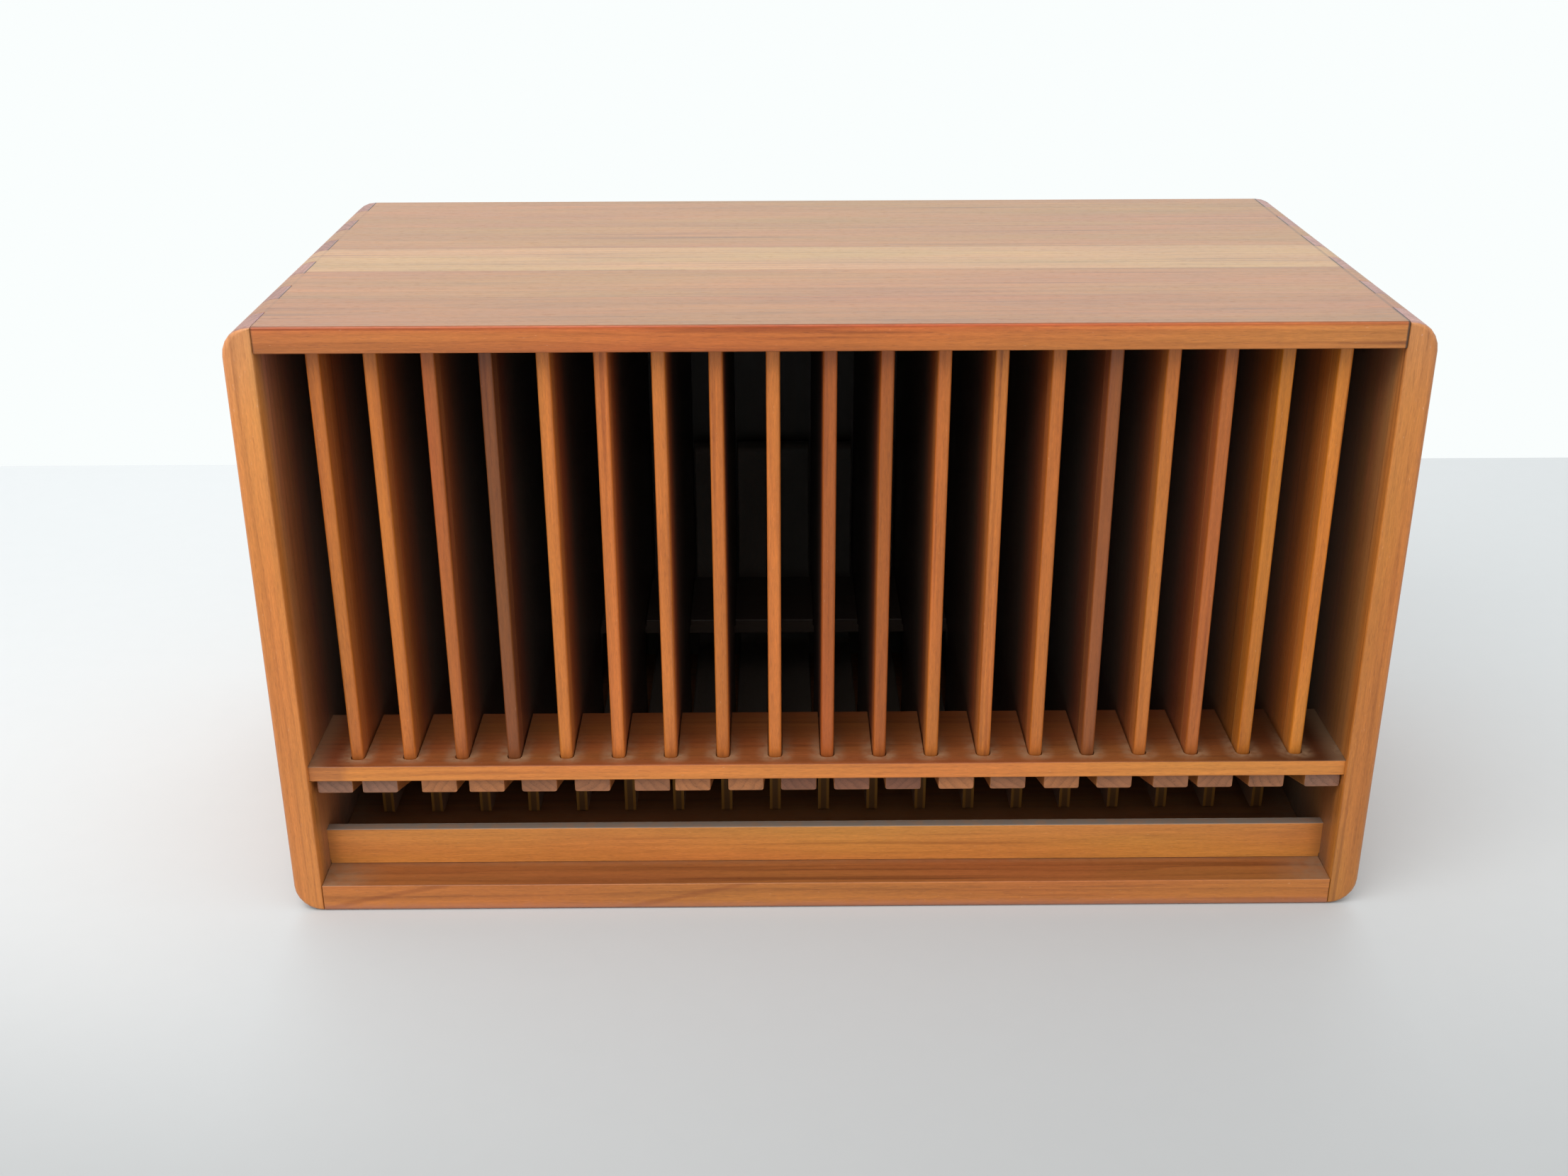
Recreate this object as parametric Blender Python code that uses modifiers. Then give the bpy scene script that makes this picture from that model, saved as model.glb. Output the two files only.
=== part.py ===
"""Twenty-slot jewel-case rack in teak, with a push-down ejector lever in each slot.

A finger-jointed case holds nineteen upright dividers.  Under the front shelf a
row of twenty wooden levers turns on one steel rod.  Pressing the front end of
a lever swings its rear upright forwards, which pushes the disc case out.

Frame: origin at the middle of the underside, +X to the right, +Y to the back,
+Z up.  Units are metres; the constants below are millimetres, and depths are
measured back from the plane of the front edges.
"""

import math

import bmesh
import bpy
from mathutils import Matrix, Vector

MM = 0.001

# ---------------------------------------------------------------- dimensions
WIDTH, DEPTH, HEIGHT = 326.0, 165.0, 184.0
SIDE_T, TOP_T, BOTTOM_T = 8.7, 7.5, 9.0
CORNER_R = 8.5                      # outer corners, seen from the front
FINGERS = 11                        # finger joints along each corner, all equal
GLUE = 0.15                         # gap left between glued faces
FIT = 0.3                           # gap left between a moving piece and its stop

SLOTS = 20
INNER = WIDTH - 2 * SIDE_T
LIP_T, PLY_T = 3.87, 3.5            # divider: solid front lipping, thinner panel
PITCH = (INNER + LIP_T) / SLOTS
LIP_FRONT, LIP_BACK = 6.4, 13.4
DIVIDER_BACK = 160.3
GROOVE_W, GROOVE_D = 4.3, 2.2       # routed grooves that seat the dividers
TOP_GROOVE_D = 2.5
GROOVE_FRONT, GROOVE_END_R = 5.7, 1.5
LIP_EASE = 1.0                      # the lipping's front edges, rounded over

SHELF_TOP, SHELF_T = 49.7, 5.1
SHELF_FRONT, SHELF_BACK = 1.6, 34.8
REAR_SHELF_FRONT, REAR_SHELF_BACK = 104.0, 142.0
DADO = 3.0                          # how far shelves and rail enter the sides

RAIL_FRONT, RAIL_BACK, RAIL_TOP = 12.8, 16.4, 21.2

TONGUE_FRONT, TONGUE_BACK, TONGUE_Z = 37.5, 100.0, 12.0

BACK_T = 3.9                        # back panel, let into a rebate
REBATE_D, REBATE_SIDE, REBATE_TOP, REBATE_BOTTOM = 4.3, 5.0, 4.0, 5.0

# levers
PIVOT_Y, PIVOT_Z = 62.0, 24.4
ROD_R, HOLE_R = 2.0, 2.4
ROD_INTO_SIDE = 5.0
KEY_W = 10.6
KEY_FRONT = 3.3
KEY_UNDER = 39.8                    # underside of the key at its front end
ARM_SLOPE = 0.35                    # the arm falls towards the pivot
ARM_TOP_AT_PIVOT = 29.8
REAR_ARM_TOP, REAR_ARM_UNDER = 19.4, 10.4
PUSHER_FRONT, PUSHER_BACK, PUSHER_TOP = 150.5, 158.0, 98.0
# the sideways lean of each key's front end, as the hand-fitted levers settled
KEY_LEAN = (1.0, -1.2, 0.9, -0.5, -0.4, -0.1, 2.2, -1.3, -1.0, -0.8,
            -0.5, -0.7, -0.4, -0.5, 0.0, 0.2, 1.6, -0.7, -0.9, 0.3)

# small countersunk wood screws that hold the back panel
SCREW_HEAD_R, SCREW_SHANK_R, SCREW_HEAD_H, SCREW_L = 2.1, 1.1, 1.3, 9.5


def yw(depth):
    """Depth behind the front plane to the frame's y, in millimetres."""
    return depth - DEPTH / 2


# ------------------------------------------------------------------- cleaning
for old in list(bpy.data.objects):
    bpy.data.objects.remove(old, do_unlink=True)
for old in list(bpy.data.meshes):
    bpy.data.meshes.remove(old)

PARTS = bpy.data.collections.new("disc_case_rack")
CUTTERS = bpy.data.collections.new("cutters")
bpy.context.scene.collection.children.link(PARTS)
bpy.context.scene.collection.children.link(CUTTERS)


# ------------------------------------------------------------------ materials
def material(name, colour, rough, metal=0.0):
    m = bpy.data.materials.new(name)
    m.use_nodes = True
    b = m.node_tree.nodes["Principled BSDF"]
    b.inputs["Base Color"].default_value = (*colour, 1.0)
    b.inputs["Roughness"].default_value = rough
    b.inputs["Metallic"].default_value = metal
    m.diffuse_color = (*colour, 1.0)
    return m


TEAK = material("teak", (0.55, 0.27, 0.10), 0.48)
TEAK_DARK = material("teak_shelf", (0.36, 0.17, 0.08), 0.55)
TEAK_DIVIDER = material("teak_divider", (0.50, 0.23, 0.09), 0.5)
LEVER_WOOD = material("lever_wood", (0.42, 0.27, 0.19), 0.6)
BACK_PLY = material("back_ply", (0.40, 0.24, 0.13), 0.6)
STEEL = material("steel", (0.55, 0.55, 0.56), 0.3, 1.0)
BRASS = material("brass", (0.70, 0.50, 0.22), 0.35, 1.0)


# -------------------------------------------------------------------- helpers
def add(name, mesh, mat=None, coll=PARTS, loc=(0, 0, 0)):
    ob = bpy.data.objects.new(name, mesh)
    ob.location = Vector(loc) * MM
    coll.objects.link(ob)
    if mat is not None and not mesh.materials:
        mesh.materials.append(mat)
    if coll is CUTTERS:
        ob.hide_render = True
        ob.display_type = "WIRE"
    return ob


def cube_into(bm, x, y, z):
    """A cuboid between two limits on each axis; returns its vertices."""
    size = Vector((x[1] - x[0], y[1] - y[0], z[1] - z[0])) * MM
    mid = Vector((x[0] + x[1], y[0] + y[1], z[0] + z[1])) * (MM / 2)
    mat = Matrix.Translation(mid) @ Matrix.Diagonal((*size, 1.0))
    return bmesh.ops.create_cube(bm, size=1.0, matrix=mat)["verts"]


def cuboids(name, boxes, mat=None, coll=PARTS, loc=(0, 0, 0)):
    """One object made of separate cuboids; y is given as depth."""
    bm = bmesh.new()
    for x, y, z in boxes:
        cube_into(bm, x, (yw(y[0]), yw(y[1])), z)
    me = bpy.data.meshes.new(name)
    bm.to_mesh(me)
    bm.free()
    return add(name, me, mat, coll, loc)


def round_ended(name, slots, r, coll=CUTTERS):
    """Cuboids whose two upright front edges are rounded in plan."""
    bm = bmesh.new()
    for x, y, z in slots:
        verts = cube_into(bm, x, (yw(y[0]), yw(y[1])), z)
        front = min(v.co.y for v in verts)
        edges = {e for v in verts for e in v.link_edges
                 if all(abs(w.co.y - front) < 1e-7 for w in e.verts)
                 and abs(e.verts[0].co.x - e.verts[1].co.x) < 1e-7}
        bmesh.ops.bevel(bm, geom=list(edges), offset=r * MM,
                        segments=2, profile=0.5, affect="EDGES")
    me = bpy.data.meshes.new(name)
    bm.to_mesh(me)
    bm.free()
    return add(name, me, None, coll)


def cylinder(name, axis, r, length, centre, sides=12, mat=None, coll=PARTS):
    """A closed cylinder along X or Y, about its centre."""
    bm = bmesh.new()
    turn = Matrix.Rotation(math.pi / 2, 4, "Y" if axis == "X" else "X")
    bmesh.ops.create_cone(bm, cap_ends=True, segments=sides, radius1=r * MM,
                          radius2=r * MM, depth=length * MM, matrix=turn)
    me = bpy.data.meshes.new(name)
    bm.to_mesh(me)
    bm.free()
    for p in me.polygons:
        p.use_smooth = len(p.vertices) == 4
    return add(name, me, mat, coll, centre)


def boolean(ob, other, how="DIFFERENCE"):
    m = ob.modifiers.new(how.lower(), "BOOLEAN")
    m.operation = how
    m.solver = "EXACT"
    m.object = other
    return m


def settled(ob, name):
    """The mesh an object has once its modifiers are evaluated."""
    bpy.context.view_layer.update()
    deps = bpy.context.evaluated_depsgraph_get()
    me = bpy.data.meshes.new_from_object(ob.evaluated_get(deps))
    me.name = name
    bm = bmesh.new()
    bm.from_mesh(me)
    bmesh.ops.remove_doubles(bm, verts=bm.verts, dist=1e-6)
    bmesh.ops.recalc_face_normals(bm, faces=bm.faces)
    bm.to_mesh(me)
    bm.free()
    return me


def corner_rounded(points, segs=4):
    """An outline from (y, z, radius) corners, each rounded by its radius."""
    out = []
    n = len(points)
    for i, (py, pz, r) in enumerate(points):
        p = Vector((py, pz))
        if r <= 0:
            out.append(p)
            continue
        a = (Vector(points[i - 1][:2]) - p).normalized()
        b = (Vector(points[(i + 1) % n][:2]) - p).normalized()
        half = a.angle(b) / 2
        reach = r / math.tan(half)
        centre = p + (a + b).normalized() * (r / math.sin(half))
        s = (p + a * reach) - centre
        e = (p + b * reach) - centre
        sweep = s.angle(e)
        sign = 1.0 if s.x * e.y - s.y * e.x > 0 else -1.0
        for k in range(segs + 1):
            t = sign * sweep * k / segs
            out.append(centre + Vector((s.x * math.cos(t) - s.y * math.sin(t),
                                        s.x * math.sin(t) + s.y * math.cos(t))))
    return out


def plate(name, outline, thick, origin, coll=PARTS, mat=None):
    """A flat outline in the (depth, height) plane, given thickness along X.

    origin is the (depth, height) point that becomes the mesh's own origin.
    """
    cu = bpy.data.curves.new(name + "_outline", "CURVE")
    cu.dimensions = "2D"
    cu.fill_mode = "BOTH"
    cu.extrude = thick / 2 * MM
    cu.resolution_u = 1
    sp = cu.splines.new("POLY")
    sp.points.add(len(outline) - 1)
    for pt, p in zip(sp.points, outline):
        pt.co = ((p[0] - origin[0]) * MM, (p[1] - origin[1]) * MM, 0.0, 1.0)
    sp.use_cyclic_u = True
    guide = bpy.data.objects.new(name + "_outline", cu)
    CUTTERS.objects.link(guide)
    me = settled(guide, name)
    bpy.data.objects.remove(guide, do_unlink=True)
    bpy.data.curves.remove(cu)
    # the outline's plane is turned to stand upright, thickness along X
    me.transform(Matrix(((0, 0, 1, 0), (1, 0, 0, 0), (0, 1, 0, 0), (0, 0, 0, 1))))
    return add(name, me, mat, coll)


# ----------------------------------------------------------------------- case
step = DEPTH / FINGERS
half_w = WIDTH / 2

block_bm = bmesh.new()
cube_into(block_bm, (-half_w, half_w), (yw(0), yw(DEPTH)), (0, HEIGHT))
long_edges = [e for e in block_bm.edges
              if abs(e.verts[0].co.y - e.verts[1].co.y) > 0.1]
bmesh.ops.bevel(block_bm, geom=long_edges, offset=CORNER_R * MM, segments=6,
                profile=0.5, affect="EDGES")
block_mesh = bpy.data.meshes.new("case_block")
block_bm.to_mesh(block_mesh)
block_bm.free()
case_block = add("case_block", block_mesh, None, CUTTERS)

rebate = cuboids("back_rebate", [(
    (-INNER / 2 - REBATE_SIDE, INNER / 2 + REBATE_SIDE),
    (DEPTH - REBATE_D, DEPTH + 5),
    (BOTTOM_T - REBATE_BOTTOM, HEIGHT - TOP_T + REBATE_TOP))], coll=CUTTERS)

OWN = [(step * k, step * (k + 1)) for k in range(0, FINGERS, 2)]     # side fingers
GIVEN = [(step * k, step * (k + 1)) for k in range(1, FINGERS, 2)]   # top and bottom fingers

SCREWS = []                                             # (x, z) on the back
for sx in (-1, 1):
    for z in (24.0, 92.0, 160.0):
        SCREWS.append((sx * (INNER / 2 + 2.5), z))
for sx in (-1, 1):
    SCREWS.append((sx * 70.3, BOTTOM_T - 2.5))
SCREW_TOP = DEPTH - 0.45                                # head, just under flush


def pilot_cutter(name, points):
    """Clearance for the screw shanks in the wood in front of the back panel."""
    bm = bmesh.new()
    for x, z in points:
        mat = (Matrix.Translation(Vector((x, yw(SCREW_TOP - SCREW_L / 2), z)) * MM)
               @ Matrix.Rotation(math.pi / 2, 4, "X"))
        bmesh.ops.create_cone(bm, cap_ends=True, segments=10,
                              radius1=(SCREW_SHANK_R + 0.2) * MM,
                              radius2=(SCREW_SHANK_R + 0.2) * MM,
                              depth=(SCREW_L + 1.0) * MM, matrix=mat)
    me = bpy.data.meshes.new(name)
    bm.to_mesh(me)
    bm.free()
    return add(name, me, None, CUTTERS)


def side(name, sx):
    x_out, x_in = sx * half_w, sx * INNER / 2
    lo, hi = sorted((x_out, x_in))
    ob = cuboids(name, [((lo, hi), (0, DEPTH), (0, HEIGHT))], TEAK)
    boolean(ob, case_block, "INTERSECT")
    wide = (lo - 2, hi + 2)
    sockets = []
    for y in GIVEN:
        sockets.append((wide, y, (HEIGHT - TOP_T - GLUE, HEIGHT + 5)))
        sockets.append((wide, y, (-5, BOTTOM_T + GLUE)))
    boolean(ob, cuboids(name + "_sockets", sockets, coll=CUTTERS))
    boolean(ob, rebate)
    inner = sorted((x_in + sx * DADO, x_in - sx * 2))
    z_shelf = (SHELF_TOP - SHELF_T - GLUE, SHELF_TOP + GLUE)
    dados = [
        (inner, (SHELF_FRONT - GLUE, SHELF_BACK + GLUE), z_shelf),
        (inner, (REAR_SHELF_FRONT - GLUE, REAR_SHELF_BACK + GLUE), z_shelf),
        (inner, (RAIL_FRONT - GLUE, RAIL_BACK + GLUE), (BOTTOM_T + 1.2, RAIL_TOP + GLUE)),
    ]
    boolean(ob, cuboids(name + "_dados", dados, coll=CUTTERS))
    rod_hole = cylinder(name + "_rod_hole", "X", HOLE_R, ROD_INTO_SIDE + 4,
                        (x_in + sx * (ROD_INTO_SIDE - (ROD_INTO_SIDE + 4) / 2),
                         yw(PIVOT_Y), PIVOT_Z), coll=CUTTERS)
    boolean(ob, rod_hole)
    boolean(ob, pilot_cutter(name + "_pilots", [s for s in SCREWS if s[0] * sx > INNER / 2]))
    return ob


left_side = side("left_side_panel", -1)
right_side = side("right_side_panel", 1)

divider_x = [(i - SLOTS / 2) * PITCH for i in range(1, SLOTS)]


def cross_panel(name, z):
    """The top or the bottom: a board whose fingers pass between the sides'."""
    ob = cuboids(name, [((-half_w, half_w), (0, DEPTH), z)], TEAK)
    boolean(ob, case_block, "INTERSECT")
    sockets = []
    for sx in (-1, 1):
        x = sorted((sx * (half_w + 2), sx * (INNER / 2 - GLUE)))
        for y in OWN:
            sockets.append((x, (y[0] - (5 if y[0] == 0 else GLUE),
                                y[1] + (5 if y[1] > DEPTH - 1 else GLUE)),
                            (z[0] - 5, z[1] + 5)))
    boolean(ob, cuboids(name + "_sockets", sockets, coll=CUTTERS))
    boolean(ob, rebate)
    return ob


top = cross_panel("top_panel", (HEIGHT - TOP_T, HEIGHT))
boolean(top, round_ended("top_grooves", [
    ((x - GROOVE_W / 2, x + GROOVE_W / 2), (GROOVE_FRONT, DEPTH + 2),
     (HEIGHT - TOP_T - 2, HEIGHT - TOP_T + TOP_GROOVE_D)) for x in divider_x],
    GROOVE_END_R))

bottom = cross_panel("bottom_panel", (0, BOTTOM_T))
boolean(bottom, pilot_cutter("bottom_pilots", [s for s in SCREWS if s[1] < BOTTOM_T]))


# -------------------------------------------------------------- back and rails
back = cuboids("back_panel", [(
    (-INNER / 2 - REBATE_SIDE + GLUE, INNER / 2 + REBATE_SIDE - GLUE),
    (DEPTH - REBATE_D + GLUE, DEPTH - REBATE_D + GLUE + BACK_T),
    (BOTTOM_T - REBATE_BOTTOM + GLUE, HEIGHT - TOP_T + REBATE_TOP - GLUE))], BACK_PLY)

head_bm = bmesh.new()
for sxz in SCREWS:
    turn = Matrix.Rotation(-math.pi / 2, 4, "X")        # cone axis to +Y
    grow = 0.2
    bmesh.ops.create_cone(
        head_bm, cap_ends=True, segments=12,
        radius1=(SCREW_SHANK_R + grow) * MM,
        radius2=(SCREW_HEAD_R + grow + (SCREW_HEAD_R - SCREW_SHANK_R) / SCREW_HEAD_H * 1.0) * MM,
        depth=(SCREW_HEAD_H + 1.0) * MM,
        matrix=Matrix.Translation(Vector((sxz[0], yw(SCREW_TOP + 1.0 - (SCREW_HEAD_H + 1.0) / 2),
                                          sxz[1])) * MM) @ turn)
head_mesh = bpy.data.meshes.new("countersinks")
head_bm.to_mesh(head_mesh)
head_bm.free()
boolean(back, add("countersinks", head_mesh, None, CUTTERS))
boolean(back, pilot_cutter("back_pilots", SCREWS))

z_shelf = (SHELF_TOP - SHELF_T, SHELF_TOP)
x_shelf = (-INNER / 2 - DADO + GLUE, INNER / 2 + DADO - GLUE)
front_shelf = cuboids("front_shelf", [(x_shelf, (SHELF_FRONT, SHELF_BACK), z_shelf)], TEAK_DARK)
boolean(front_shelf, round_ended("front_shelf_grooves", [
    ((x - GROOVE_W / 2, x + GROOVE_W / 2), (GROOVE_FRONT, SHELF_BACK + 2),
     (SHELF_TOP - GROOVE_D, SHELF_TOP + 2)) for x in divider_x], GROOVE_END_R))

rear_shelf = cuboids("rear_shelf", [(x_shelf, (REAR_SHELF_FRONT, REAR_SHELF_BACK), z_shelf)],
                     TEAK_DARK)
boolean(rear_shelf, cuboids("rear_shelf_grooves", [
    ((x - GROOVE_W / 2, x + GROOVE_W / 2), (REAR_SHELF_FRONT - 2, REAR_SHELF_BACK + 2),
     (SHELF_TOP - GROOVE_D, SHELF_TOP + 2)) for x in divider_x], coll=CUTTERS))

front_rail = cuboids("front_rail", [(x_shelf, (RAIL_FRONT, RAIL_BACK),
                                     (BOTTOM_T + GLUE + 1.2, RAIL_TOP)),
                                    ], TEAK)
rail_foot = cuboids("rail_foot", [((-INNER / 2 + GLUE, INNER / 2 - GLUE),
                                   (RAIL_FRONT, RAIL_BACK), (BOTTOM_T + GLUE, 14.0))],
                    coll=CUTTERS)
boolean(front_rail, rail_foot, "UNION")

pivot_rod = cylinder("pivot_rod", "X", ROD_R, INNER + 2 * (ROD_INTO_SIDE - 0.4),
                     (0, yw(PIVOT_Y), PIVOT_Z), sides=12, mat=STEEL)

# ------------------------------------------------------------------- dividers
foot_z = SHELF_TOP - GROOVE_D + GLUE
head_z = HEIGHT - TOP_T + TOP_GROOVE_D - GLUE
outline = corner_rounded([
    (LIP_BACK - 3, foot_z, 0), (TONGUE_FRONT, foot_z, 0),
    (TONGUE_FRONT, TONGUE_Z, 1.2), (TONGUE_BACK, TONGUE_Z, 3),
    (TONGUE_BACK, foot_z + 0.3, 0), (DIVIDER_BACK, foot_z + 0.3, 0),
    (DIVIDER_BACK, head_z, 0), (LIP_BACK - 3, head_z, 0)], segs=3)
pattern = plate("divider_pattern", outline, PLY_T, (DEPTH / 2, 0), coll=CUTTERS)
lipping = round_ended("lipping_pattern", [((-LIP_T / 2, LIP_T / 2), (LIP_FRONT, LIP_BACK),
                                           (foot_z - 0.05, head_z + 0.05))], LIP_EASE)
boolean(pattern, lipping, "UNION")
boolean(pattern, cylinder("divider_rod_hole", "X", HOLE_R, PLY_T + 6,
                          (0, yw(PIVOT_Y), PIVOT_Z), coll=CUTTERS))
divider_mesh = settled(pattern, "divider")
divider_mesh.materials.append(TEAK_DIVIDER)
for i, x in enumerate(divider_x, 1):
    add("divider_%02d" % i, divider_mesh, None, PARTS, (x, 0, 0))

# --------------------------------------------------------------------- levers
key_top = SHELF_TOP - SHELF_T - FIT
under_end = KEY_FRONT + (KEY_UNDER - REAR_ARM_UNDER) / ARM_SLOPE
top_start = PIVOT_Y - (key_top - ARM_TOP_AT_PIVOT) / ARM_SLOPE
top_end = PIVOT_Y + (ARM_TOP_AT_PIVOT - REAR_ARM_TOP) / ARM_SLOPE
lever_outline = corner_rounded([
    (KEY_FRONT, KEY_UNDER, 0), (under_end, REAR_ARM_UNDER, 0),
    (PUSHER_BACK, REAR_ARM_UNDER, 4.0), (PUSHER_BACK, PUSHER_TOP, 3.2),
    (PUSHER_FRONT, PUSHER_TOP, 3.2), (PUSHER_FRONT, REAR_ARM_TOP, 4.0),
    (top_end, REAR_ARM_TOP, 0), (top_start, key_top, 0), (KEY_FRONT, key_top, 0)], segs=3)
lever_pattern = plate("lever_pattern", lever_outline, KEY_W, (PIVOT_Y, PIVOT_Z), coll=CUTTERS)
boolean(lever_pattern, cylinder("lever_rod_hole", "X", HOLE_R, KEY_W + 6, (0, 0, 0),
                                coll=CUTTERS))
# cross cuts let the front of the arm lean a little to one side
lean_from = TONGUE_FRONT - 1.0
lever_base = settled(lever_pattern, "lever_base")
for i, lean in enumerate(KEY_LEAN, 1):
    me = lever_base.copy()
    me.name = "lever_%02d" % i
    bm = bmesh.new()
    bm.from_mesh(me)
    plane_y = (lean_from - PIVOT_Y) * MM
    bmesh.ops.bisect_plane(bm, geom=bm.verts[:] + bm.edges[:] + bm.faces[:], dist=1e-7,
                           plane_co=(0, plane_y, 0), plane_no=(0, 1, 0))
    reach = (lean_from - KEY_FRONT) * MM
    for v in bm.verts:
        if v.co.y < plane_y - 1e-7:
            v.co.x += lean * MM * (plane_y - v.co.y) / reach
    bmesh.ops.triangulate(bm, faces=bm.faces[:])
    bm.to_mesh(me)
    bm.free()
    me.materials.append(LEVER_WOOD)
    add("lever_%02d" % i, me, None, PARTS, ((i - (SLOTS + 1) / 2) * PITCH, yw(PIVOT_Y), PIVOT_Z))

# --------------------------------------------------------------------- screws
# a turned profile: the rim of the head, the cone, the shank and the tapered tip
prof = [(0.0, 0.0), (SCREW_HEAD_R, 0.0), (SCREW_SHANK_R, -SCREW_HEAD_H),
        (SCREW_SHANK_R, -SCREW_L + 2.5), (0.0, -SCREW_L)]
pm = bpy.data.meshes.new("screw_profile")
pbm = bmesh.new()
pv = [pbm.verts.new((r * MM, 0, z * MM)) for r, z in prof]
for a, b in zip(pv, pv[1:]):
    pbm.edges.new((a, b))
pbm.to_mesh(pm)
pbm.free()
screw_pattern = add("screw_pattern", pm, None, CUTTERS)
sm = screw_pattern.modifiers.new("turn", "SCREW")
sm.axis = "Z"
sm.steps = sm.render_steps = 12
sm.use_merge_vertices = True
sm.merge_threshold = 0.00001
turned = settled(screw_pattern, "turned_screw")
bpy.data.objects.remove(screw_pattern, do_unlink=True)
screw_body = add("screw_body", turned, None, CUTTERS)
slot_bm = bmesh.new()
cube_into(slot_bm, (-3, 3), (-0.3, 0.3), (-0.6, 1))
slot_me = bpy.data.meshes.new("screw_slot")
slot_bm.to_mesh(slot_me)
slot_bm.free()
boolean(screw_body, add("screw_slot", slot_me, None, CUTTERS))
screw_mesh = settled(screw_body, "screw")
screw_mesh.materials.append(BRASS)
for i, (x, z) in enumerate(SCREWS, 1):
    ob = add("back_screw_%02d" % i, screw_mesh, None, PARTS, (x, yw(SCREW_TOP), z))
    # the head faces the back; each slot stopped at its own angle
    ob.rotation_euler = (Matrix.Rotation(-math.pi / 2, 4, "X")
                         @ Matrix.Rotation(math.radians(37 * i), 4, "Z")).to_euler()

for ob in (pattern, lipping, lever_pattern, screw_body):
    ob.hide_render = True
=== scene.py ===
"""Looks for the twenty-slot disc-case rack: teak case, dividers and push-down levers.

Everything is in metres in the row frame.  Constants below are millimetres, and
depths (Yf) are measured back from the plane of the case's front edges.
"""
import math

import bmesh
import bpy
from mathutils import Matrix, Vector


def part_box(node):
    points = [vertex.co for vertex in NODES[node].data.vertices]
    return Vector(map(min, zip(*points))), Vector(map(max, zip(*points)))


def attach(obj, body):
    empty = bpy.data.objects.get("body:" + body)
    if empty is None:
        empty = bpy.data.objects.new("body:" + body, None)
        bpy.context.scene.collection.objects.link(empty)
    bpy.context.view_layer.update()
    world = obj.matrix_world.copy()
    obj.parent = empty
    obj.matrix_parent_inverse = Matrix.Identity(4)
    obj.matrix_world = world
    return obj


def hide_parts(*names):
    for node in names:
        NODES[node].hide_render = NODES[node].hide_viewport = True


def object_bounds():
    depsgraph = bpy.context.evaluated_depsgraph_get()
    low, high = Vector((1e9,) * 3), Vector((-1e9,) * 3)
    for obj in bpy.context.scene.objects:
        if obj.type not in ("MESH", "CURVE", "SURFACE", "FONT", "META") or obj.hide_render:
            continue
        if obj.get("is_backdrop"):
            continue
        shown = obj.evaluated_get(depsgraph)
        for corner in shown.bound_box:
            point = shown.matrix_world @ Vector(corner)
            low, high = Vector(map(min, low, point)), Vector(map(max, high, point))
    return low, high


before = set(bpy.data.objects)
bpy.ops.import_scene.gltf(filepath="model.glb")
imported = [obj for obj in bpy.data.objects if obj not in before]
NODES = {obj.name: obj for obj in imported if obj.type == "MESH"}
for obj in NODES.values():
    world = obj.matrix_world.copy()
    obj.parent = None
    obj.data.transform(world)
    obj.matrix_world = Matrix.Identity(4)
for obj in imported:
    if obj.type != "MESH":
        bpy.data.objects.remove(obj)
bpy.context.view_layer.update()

MM = 0.001
DEPTH, HEIGHT, WIDTH = 165.0, 184.0, 326.0
SIDE_T, TOP_T, BOTTOM_T = 8.7, 7.5, 9.0
INNER = WIDTH - 2 * SIDE_T
PITCH = (INNER + 3.87) / 20.0
JOINT_X = INNER / 2                     # the glue line between sides and top


def yw(depth):
    return depth - DEPTH / 2


# =====================================================================  shapes
def welded(node, flat=0.6):
    """A clean bmesh of a CAD node: seams welded, flat faces merged."""
    bm = bmesh.new()
    bm.from_mesh(NODES[node].data)
    if "side_panel" in node:                            # the corner's arc runs on to the glue line
        for v in bm.verts:
            if abs(abs(v.co.x) / MM - JOINT_X - 0.2) < 0.02 and (v.co.z / MM > HEIGHT - 0.02 or v.co.z / MM < 0.02):
                v.co.x = math.copysign(JOINT_X * MM, v.co.x)
    bmesh.ops.remove_doubles(bm, verts=bm.verts[:], dist=2e-6)
    bmesh.ops.dissolve_limit(bm, angle_limit=math.radians(flat), use_dissolve_boundaries=False,
                             verts=bm.verts[:], edges=bm.edges[:])
    bmesh.ops.recalc_face_normals(bm, faces=bm.faces[:])
    return bm


class Edge:
    """What a rounding rule needs to know about one edge, in millimetres."""

    def __init__(self, e):
        a, b = e.verts[0].co / MM, e.verts[1].co / MM
        self.x, self.y, self.z = (a + b) / 2
        self.d = self.y + DEPTH / 2                     # depth behind the front
        self.lo = Vector(map(min, a, b))
        self.hi = Vector(map(max, a, b))
        self.dlo, self.dhi = self.lo.y + DEPTH / 2, self.hi.y + DEPTH / 2
        self.dir = (b - a).normalized()
        self.len = (b - a).length
        self.turn = math.degrees(e.calc_face_angle_signed(0.0)) if len(e.link_faces) == 2 else 0.0


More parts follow.
